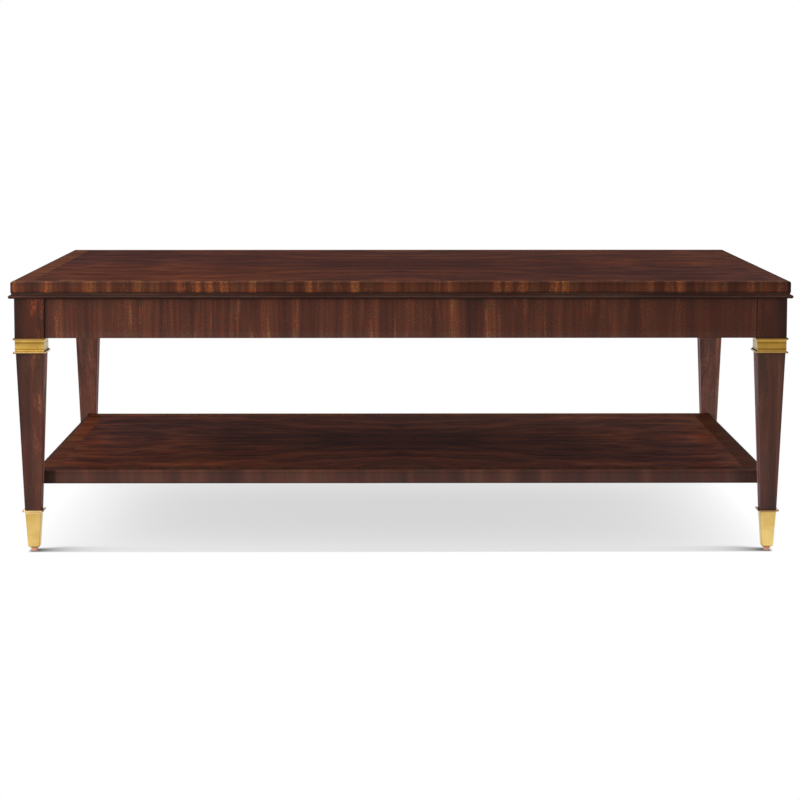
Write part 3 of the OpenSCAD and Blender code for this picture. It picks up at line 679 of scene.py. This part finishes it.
def soften_group(angle):
    """Geometry nodes that join split vertices and shade smooth up to the angle."""
    tree = bpy.data.node_groups.new("soften", "GeometryNodeTree")
    tree.interface.new_socket("Geometry", in_out="INPUT", socket_type="NodeSocketGeometry")
    tree.interface.new_socket("Geometry", in_out="OUTPUT", socket_type="NodeSocketGeometry")
    g = Graph(tree)
    start = g.node("NodeGroupInput")
    end = g.node("NodeGroupOutput")
    bare = g.node("GeometryNodeRemoveAttribute", {0: start.outputs[0], "Name": "custom_normal"})
    joined = g.node("GeometryNodeMergeByDistance", {0: bare.outputs[0], "Distance": WELD})
    faces = g.node("GeometryNodeSetShadeSmooth", {0: joined.outputs[0], "Shade Smooth": True},
                   domain="FACE")
    fold = g.node("GeometryNodeInputMeshEdgeAngle").outputs["Unsigned Angle"]
    flat = g.node("FunctionNodeCompare", {0: fold, 1: angle}, data_type="FLOAT",
                  operation="LESS_THAN").outputs[0]
    edges = g.node("GeometryNodeSetShadeSmooth", {0: faces.outputs[0], "Shade Smooth": flat},
                   domain="EDGE")
    g.feed(end.inputs[0], edges.outputs[0])
    return tree


def soften(name, group, bevel):
    """Smooth shading on round faces, and a small bevel on the sharp edges."""
    piece = nodes[name]
    piece.modifiers.new("soften", "NODES").node_group = group
    if bevel:
        rounding = piece.modifiers.new("rounding", "BEVEL")
        rounding.width = bevel
        rounding.segments = BEVEL_STEPS
        rounding.limit_method = "ANGLE"
        rounding.angle_limit = FOLD
        rounding.use_clamp_overlap = False
        rounding.harden_normals = True


def soften_all():
    group = soften_group(FOLD)
    for name in nodes:
        if not any(part in name for part in FLAT_PIECES):
            soften(name, group, BEVELS.get(name.split("_")[0], 0.0) * MM)


def side_materials(run):
    """Materials of the pieces along the sides that run along x or y, by the pieces' names."""
    long = run == "x"
    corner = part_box("top_lipping_right")[1]
    edge_end = (corner.x if long else corner.y) - END_INSET
    rail_end = (LEG.x if long else LEG.y) - POST_HALF - END_INSET
    edge_lacquer = LACQUER if long else FLAT_LACQUER
    return {
        # The top band's fade is painted light: a little lighter on the left, cooler and darker
        # towards the right.
        "top_band": striped(
            f"top_band_{run}", run, BAND, seed=2.0, lacquer=FLAT_LACQUER, calm=(0.2, 0.3),
            fade=("x", -0.4, 0.6, 1.02, (0.93, 0.92, 1.15))),
        # Painted light and shade on the top edge: its heights as above, painted shade at the corners
        # (ends) and towards the right (fade).
        "top_lipping": striped(
            f"top_edge_{run}", run, EDGE, seed=11.0, broad=30, fine=170, line=0.28, patches=0.30,
            lift=-0.05, heights=EDGE_HEIGHTS if long else EDGE_SIDE_HEIGHTS,
            ends=(edge_end, 0.35, 0.35), fade=("x", -0.4, 0.6, 1.0, 0.86), calm=(0.15, 0.15),
            lacquer=edge_lacquer),
        "moulding": lengthwise(f"moulding_{run}", run, MOULDING, seed=5.0, heights=BEAD_HEIGHTS),
        # Painted light and shade on the rails: shade under the moulding and towards the right, shade
        # at the rails' ends on the table's left and a highlight at those on its right.
        "apron": striped(
            f"apron_{run}", run, APRON, seed=21.0, broad=28, fine=130, line=0.34,
            streaks=0.28, specks=0.33, lift=-0.02, heights=RAIL_HEIGHTS,
            ends=(rail_end, 0.3, (1.1, 1.4, 1.6)), fade=("x", 0.0, 0.6, 1.0, 0.76), calm=(0.0, 0.35)),
        # The shelf bands' fades are painted shade: the long bands darken towards the front, the short
        # ones are darker, most towards the right.
        "shelf_band": striped(
            f"shelf_band_{run}", run, BAND, seed=32.0, lacquer=FLAT_LACQUER,
            calm=(0.4, 0.4) if long else (0.0, 0.4),
            fade=("y", -0.33, -0.2, 0.55, 1.0) if long
            else ("x", -0.5, 0.5, (0.86, 0.74, 0.68), (0.63, 0.60, 0.62))),
        # Painted light and shade on the shelf edge: its heights as above, and painted shade at the
        # ends beside the legs, most on the left.
        "shelf_lipping": striped(
            f"shelf_edge_{run}", run, SHELF_EDGE, seed=37.0, broad=24, fine=110, line=0.2,
            patches=0.05, lift=0.03, heights=SHELF_HEIGHTS if long else SHELF_SIDE_HEIGHTS,
            ends=(rail_end - SHELF_INSET, 0.45, 0.85), calm=(0.3, 0.35), lacquer=edge_lacquer),
    }


def dress_all():
    dress(at_corners("top_leaf"),
          matched_field("top_field", "top_leaf_back_right", seed=4.0, right=1.08, contrast=0.82))
    dress(at_corners("shelf_leaf"),
          matched_field("shelf_field", "shelf_leaf_back_right", seed=4.0, right=1.36))
    for run, sides in (("x", LONG_SIDES), ("y", SHORT_SIDES)):
        for kind, made in side_materials(run).items():
            dress([f"{kind}_{side}" for side in sides], made)
    dress(at_corners("leg"), upright("leg", seed=3.0))
    dress(at_corners("collar", "ferrule"), brass_material())
    dress(at_corners("glide"),
          speckled("nylon", NYLON, repeats=700.0, detail=2.0, rough=(0.55, 0.65),
                   specular=SPECULAR, bump=NYLON_BUMP))
    dress(at_corners("corner_block"), bare_timber("block", TIMBER))
    dress(["cross_rail"], bare_timber("cross_rail", TIMBER, run="y"))
    dress(["top_core", "shelf_core", "shelf_dowels"], bare_timber("core", BOARD))
    dress(["top_backing_veneer", "shelf_backing_veneer"],
          lengthwise("backing_veneer", "x", LEG_WOOD, seed=9.0))
    dress(["wood_screws", "glide_nails"],
          speckled("steel", STEEL, repeats=300.0, detail=3.0, rough=(0.28, 0.42), metallic=1.0))


# ---------------------------------------------------------------- floor, world, lamps, camera

FLOOR_HALF = 14.0
# The floor glows: camera rays see white with a painted shadow under the table; other rays see a glow
# beside the table and plain colour under it.
FLOOR_LIGHT = 0.62              # what the floor gives back to the table
# The painted shadow under the table:
UNDER_GLOW = 0.655              # level under the table before any lamp reaches it
UNDER_SHADE = 0.20              # how much of the lamps' light is seen there
UNDER_OUTSET = 0.020            # where the shade starts outside the legs' middle
UNDER_REACH = 0.10              # how far the shade takes to build up inwards from there
UNDER_EDGE = (0.013, 0.021)     # where it stops in front of and behind the legs' middle
# Painted contact shadows at the feet:
CONTACT_REACH = 1 / 19.0        # how far the feet's contact shadow fades inwards
CONTACT_OUTER = (0.002, 0.012)  # where it stops outside the legs' middle along x
CONTACT_FRONT = (0.006, 0.020)  # where it stops outside the legs' middle along y
CONTACT_NARROW = 0.06           # how far inwards its depth changes
CONTACT_DEPTHS = (0.024, 0.042)     # how far it reaches inwards along y, at the feet and there
CONTACT_BACK = (0.35, 1.15)     # share of the depth where it fades out
CONTACT_DARKEST = 0.85
HORIZON = (0.2, 0.35, 1.0, 0.08)    # steepness from and to, level from and to
CEILING = (0.6, 0.75, 0.0, 0.3)
LAMPS = (                       # name, place, height of the aim, size, watts
    ("key_low", (-1.5, -2.0, 1.0), 0.3, (1.4, 1.0), 23),
    ("key_high", (-2.2, -1.0, 1.6), 0.3, (1.4, 1.2), 26),
    ("back_left", (-1.8, 2.0, 1.3), 0.2, (1.6, 1.0), 24),
    ("back_right", (1.8, 2.0, 1.3), 0.2, (1.6, 1.0), 22),
    ("fill", (2.6, -2.0, 1.2), 0.2, (1.4, 1.0), 19),
)
FOCAL_PX, FRAME_PX, SENSOR = 2251.9, 800.0, 36.0
AXIS_ROW = 300.0                # image row that the optical axis meets
CAMERA = Vector((-21.9, -4321.4, 809.4)) * MM
TILT, YAW = math.radians(5.246), math.radians(0.295)
CLIP = (0.1, 60.0)


def white_rays(g):
    """1 for camera, glossy and transmission rays, else 0."""
    path = g.node("ShaderNodeLightPath").outputs
    seen = g.math("MAXIMUM", path["Is Camera Ray"], path["Is Glossy Ray"])
    return g.math("MAXIMUM", seen, path["Is Transmission Ray"])


def link(name, data):
    """New object in the scene."""
    made = bpy.data.objects.new(name, data)
    bpy.context.scene.collection.objects.link(made)
    return made


def contact_shadow(g, a, b):
    """1 on the bare floor, less in the painted shadow streaks that run inwards from the feet."""
    inward = g.math("MAXIMUM", g.sub(LEG.x, a), 0.0)
    streak = g.math("EXPONENT", g.mul(inward, -1 / CONTACT_REACH))
    streak = g.mul(streak, g.spread(a, *(LEG.x + out for out in CONTACT_OUTER), 1.0, 0.0))
    off = g.add(b, -LEG.y)
    depth = g.spread(inward, 0.0, CONTACT_NARROW, *CONTACT_DEPTHS)
    behind = g.math("DIVIDE", g.mul(off, -1.0), depth)
    streak = g.mul(streak, g.spread(off, *CONTACT_FRONT, 1.0, 0.0))
    streak = g.mul(streak, g.spread(behind, *CONTACT_BACK, 1.0, 0.0))
    return g.sub(1.0, g.math("MINIMUM", streak, CONTACT_DARKEST))


def make_floor():
    """White glowing floor: a painted shadow stays under the table and fades out past the feet, with
    some lamp light added there and painted contact shadows at the feet.
    """
    mesh = bpy.data.meshes.new("floor")
    corners = [(x * FLOOR_HALF, y * FLOOR_HALF, 0) for x, y in ((-1, -1), (1, -1), (1, 1), (-1, 1))]
    mesh.from_pydata(corners, [], [(0, 1, 2, 3)])
    floor = link("floor", mesh)
    made, g, shader = material("floor")
    g.tree.nodes.remove(shader)
    x, y, _ = g.place()
    a, b = g.abs(x), g.abs(y)
    within = g.math("MAXIMUM", g.sub(LEG.x + UNDER_OUTSET, a), 0.0)
    inside = g.sub(1.0, g.math("EXPONENT", g.mul(within, -1 / UNDER_REACH)))
    inside = g.mul(inside, g.spread(b, *(LEG.y + out for out in UNDER_EDGE), 1.0, 0.0))
    contact = contact_shadow(g, a, b)
    seen = white_rays(g)
    level = g.mul(g.spread(inside, 0.0, 1.0, 1.0, UNDER_GLOW, smooth=False), contact)
    bounce = g.spread(inside, 0.0, 1.0, FLOOR_LIGHT, 0.0, smooth=False)
    glow = g.node("ShaderNodeEmission", {"Color": (1, 1, 1, 1)})
    g.feed(glow.inputs["Strength"], g.add(g.mul(level, seen), g.mul(bounce, g.sub(1.0, seen))))
    shade = g.spread(seen, 0.0, 1.0, FLOOR_LIGHT, UNDER_SHADE, smooth=False)
    shade = g.mul(g.mul(shade, inside), contact)
    diffuse = g.node("ShaderNodeBsdfDiffuse", {"Color": g.join(shade, shade, shade)}).outputs[0]
    lit = g.node("ShaderNodeAddShader", {0: diffuse, 1: glow.outputs[0]}).outputs[0]
    g.feed(g.tree.nodes["Material Output"].inputs["Surface"], lit)
    mesh.materials.append(made)


def make_world():
    """White round the horizon, a dim ceiling with a darker ring below it."""
    world = bpy.data.worlds.new("studio")
    bpy.context.scene.world = world
    world.use_nodes = True
    g = Graph(world.node_tree)
    up = g.node("ShaderNodeSeparateXYZ",
                {0: g.node("ShaderNodeTexCoord").outputs["Generated"]}).outputs[2]
    level = g.add(g.spread(up, *HORIZON), g.spread(up, *CEILING))
    back = world.node_tree.nodes["Background"]
    back.inputs["Color"].default_value = (1, 1, 1, 1)
    g.feed(back.inputs["Strength"], g.math("MAXIMUM", white_rays(g), level))


def area_lamp(name, place, aim, size, power):
    """Lamp that looks at the table's middle line, at the height aim."""
    lamp = bpy.data.lights.new(name, "AREA")
    lamp.shape, lamp.size, lamp.size_y = "RECTANGLE", size[0], size[1]
    lamp.energy = power
    piece = link(name, lamp)
    piece.location = place
    piece.rotation_mode = "QUATERNION"
    piece.rotation_quaternion = (Vector((0, 0, aim)) - Vector(place)).to_track_quat("-Z", "Y")


def make_camera():
    data = bpy.data.cameras.new("camera")
    data.sensor_width = SENSOR
    data.lens = FOCAL_PX / FRAME_PX * SENSOR
    data.shift_y = (AXIS_ROW - FRAME_PX / 2) / FRAME_PX
    data.clip_start, data.clip_end = CLIP
    camera = link("camera", data)
    turn = Matrix.Rotation(-YAW, 4, "Z") @ Matrix.Rotation(math.pi / 2 - TILT, 4, "X")
    camera.matrix_world = Matrix.Translation(CAMERA) @ turn
    bpy.context.scene.camera = camera


dress_all()
soften_all()
make_floor()
make_world()
for lamp in LAMPS:
    area_lamp(*lamp)
make_camera()
bpy.context.scene.view_settings.view_transform = "Standard"
